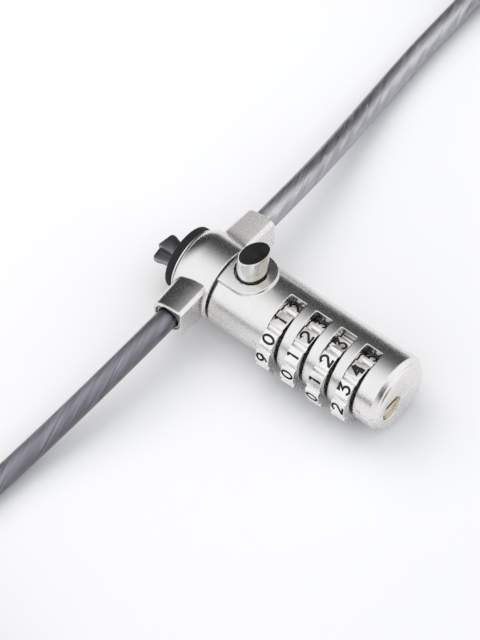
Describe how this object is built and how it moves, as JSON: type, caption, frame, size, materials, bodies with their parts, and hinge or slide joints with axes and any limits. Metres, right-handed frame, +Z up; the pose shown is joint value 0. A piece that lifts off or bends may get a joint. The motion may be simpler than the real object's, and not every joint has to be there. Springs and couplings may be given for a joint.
{
  "type": "laptop cable lock",
  "caption": "Combination cable lock for a laptop: a barrel with number wheels, a push button and hook fingers, and a swivel collar with a coated steel cable to each side.",
  "frame": {"origin": "centre of the lock's own bottom, on the surface it lies on", "axes": "+X along the barrel from the hook fingers to the reset end, +Y towards the far cable, +Z up through the push button"},
  "size_m": [0.0734, 0.3394, 0.0269],
  "materials": {
    "satin_nickel": "satin nickel plate over a die-cast zinc body, fine grain",
    "wheel_nickel": "satin nickel flats with black-filled engraved digits",
    "chrome": "polished chrome plate",
    "dark_steel": "dark hardened steel stamping with bright sheared edges",
    "bright_steel": "plain bright steel",
    "spring_steel": "plain drawn spring wire",
    "brass": "machined brass with a light turned grain",
    "rubber": "matt black moulded rubber",
    "cable_jacket": "clear smoke vinyl jacket over laid steel strands",
    "strap": "black woven hook-and-loop strap"
  },
  "bodies": {
    "collar": {"swivel_collar": "satin_nickel", "ferrule_near": "bright_steel", "ferrule_far": "bright_steel", "cable_near": "cable_jacket", "cable_near_coil": "cable_jacket", "cable_near_tie": "strap", "cable_near_crimp": "bright_steel", "cable_near_loop": "cable_jacket", "cable_far": "cable_jacket", "cable_far_coil": "cable_jacket", "cable_far_tie": "strap", "cable_far_crimp": "bright_steel", "cable_far_loop": "cable_jacket"},
    "barrel": {"barrel_upper_shell": "satin_nickel", "barrel_lower_shell": "satin_nickel", "shell_dowel_1": "bright_steel", "shell_dowel_2": "bright_steel", "nose_core": "satin_nickel", "rubber_washer": "rubber", "finger_pivot_pin": "bright_steel", "button_bushing": "satin_nickel", "button_spring": "spring_steel", "spindle_spring": "spring_steel", "rear_bearing": "brass", "detent_ball_1": "bright_steel", "detent_spring_1": "spring_steel", "detent_ball_2": "bright_steel", "detent_spring_2": "spring_steel", "detent_ball_3": "bright_steel", "detent_spring_3": "spring_steel", "detent_ball_4": "bright_steel", "detent_spring_4": "spring_steel"},
    "spindle": {"locking_spindle": "bright_steel", "drive_pin": "bright_steel"},
    "finger_upper": {"hook_finger_upper": "dark_steel"},
    "finger_lower": {"hook_finger_lower": "dark_steel"},
    "button": {"push_button": "chrome"},
    "wheel_1": {"number_wheel_1": "wheel_nickel", "clutch_sleeve_1": "brass"},
    "wheel_2": {"number_wheel_2": "wheel_nickel", "clutch_sleeve_2": "brass"},
    "wheel_3": {"number_wheel_3": "wheel_nickel", "clutch_sleeve_3": "brass"},
    "wheel_4": {"number_wheel_4": "wheel_nickel", "clutch_sleeve_4": "brass"},
    "reset": {"reset_screw": "brass"}
  },
  "joints": [
    {"name": "barrel_swivel", "type": "hinge", "parent": "collar", "child": "barrel", "pos_m": [-0.0097, 0, 0.009], "axis": [1, 0, 0], "continuous": true},
    {"name": "button_press", "type": "slide", "parent": "barrel", "child": "button", "axis": [0, 0, -1], "range_m": [0, 0.0022], "stiffness_N_per_m": 600, "springref_m": -0.0015, "deforming": ["button_spring"]},
    {"name": "spindle_slide", "type": "slide", "parent": "barrel", "child": "spindle", "axis": [-1, 0, 0], "range_m": [0, 0.0022], "deforming": ["spindle_spring"]},
    {"name": "upper_finger_fold", "type": "hinge", "parent": "barrel", "child": "finger_upper", "pos_m": [-0.0217, -0.0014, 0.009], "axis": [0, 0, 1], "range_deg": [0, 8]},
    {"name": "lower_finger_fold", "type": "hinge", "parent": "barrel", "child": "finger_lower", "pos_m": [-0.0217, -0.0014, 0.009], "axis": [0, 0, 1], "range_deg": [-8, 0]},
    {"name": "wheel_1_turn", "type": "hinge", "parent": "barrel", "child": "wheel_1", "pos_m": [0.0036, -0.00324, 0.00859], "axis": [1, 0, 0], "continuous": true},
    {"name": "wheel_2_turn", "type": "hinge", "parent": "barrel", "child": "wheel_2", "pos_m": [0.01044, -0.00324, 0.00859], "axis": [1, 0, 0], "continuous": true},
    {"name": "wheel_3_turn", "type": "hinge", "parent": "barrel", "child": "wheel_3", "pos_m": [0.01728, -0.00324, 0.00859], "axis": [1, 0, 0], "continuous": true},
    {"name": "wheel_4_turn", "type": "hinge", "parent": "barrel", "child": "wheel_4", "pos_m": [0.02412, -0.00324, 0.00859], "axis": [1, 0, 0], "continuous": true},
    {"name": "reset_turn", "type": "hinge", "parent": "barrel", "child": "reset", "pos_m": [0.0318, -0.00324, 0.00859], "axis": [1, 0, 0], "range_deg": [0, 90]}
  ],
  "couplings": [
    {"joint": "spindle_slide", "follows": "button_press", "ratio": 1},
    {"joint": "upper_finger_fold", "follows": "button_press", "rad_per_m": 63.4},
    {"joint": "lower_finger_fold", "follows": "button_press", "rad_per_m": -63.4}
  ]
}
